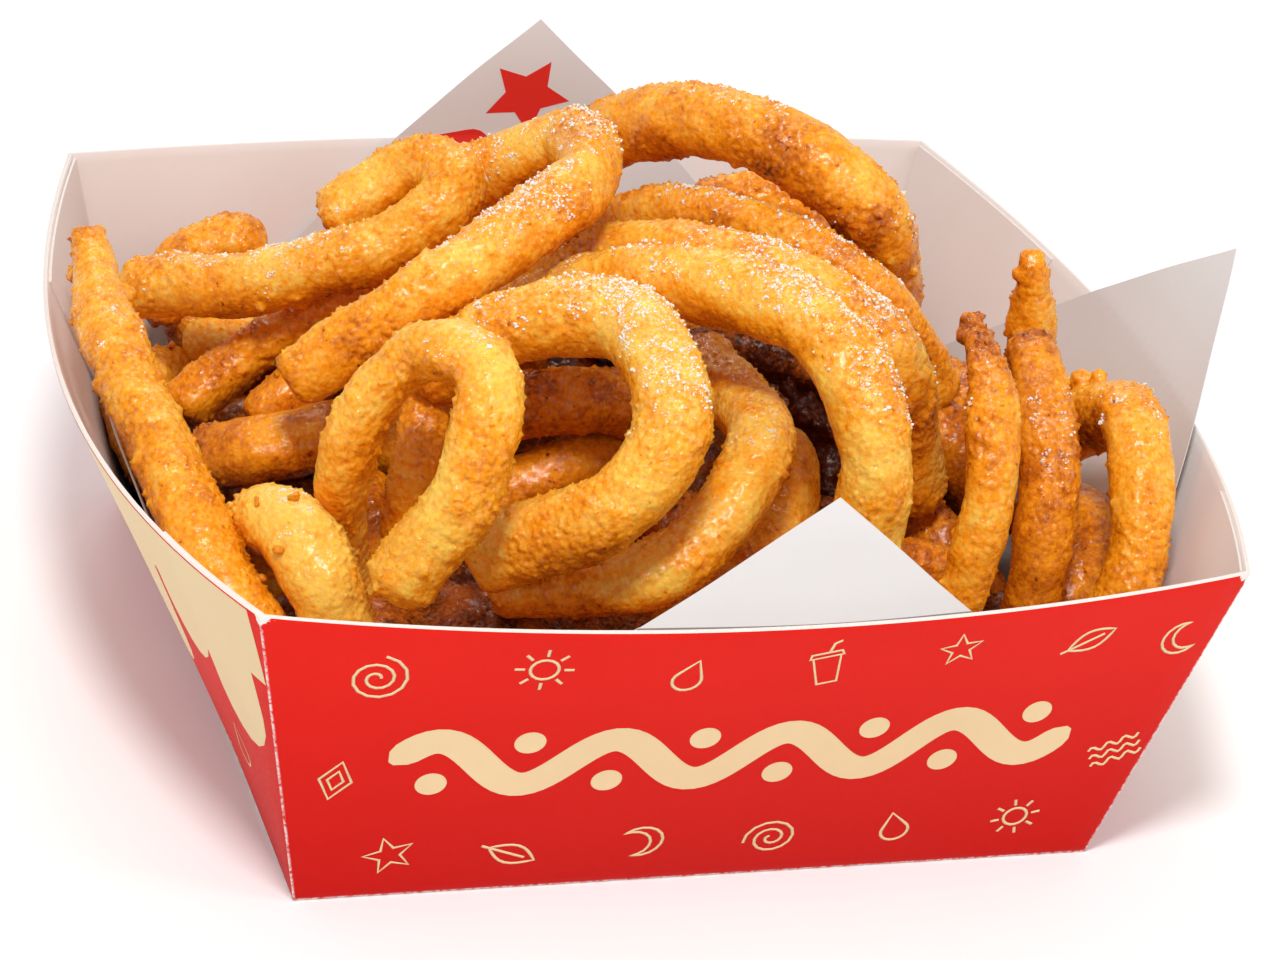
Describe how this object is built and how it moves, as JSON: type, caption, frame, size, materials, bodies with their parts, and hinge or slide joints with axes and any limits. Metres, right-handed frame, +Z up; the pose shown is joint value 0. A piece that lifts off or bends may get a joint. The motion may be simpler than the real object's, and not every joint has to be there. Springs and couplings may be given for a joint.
{
  "type": "tray of curly fries",
  "caption": "Square flared paperboard tray lined with a greaseproof sheet and heaped with thick battered curly fries.",
  "frame": {"origin": "middle of the tray's flat underside", "axes": "+X along the front wall, +Y from the front wall to the back wall, +Z up out of the tray"},
  "size_m": [0.2004, 0.176, 0.0957],
  "materials": {
    "tray": "smooth coated board, printed outside, white inside",
    "liner": "thin greaseproof paper, slightly translucent",
    "fries": "craggy golden batter with a light oil sheen"
  },
  "bodies": {
    "root": {"tray": "tray", "liner": "liner", "fries": "fries"}
  },
  "joints": []
}
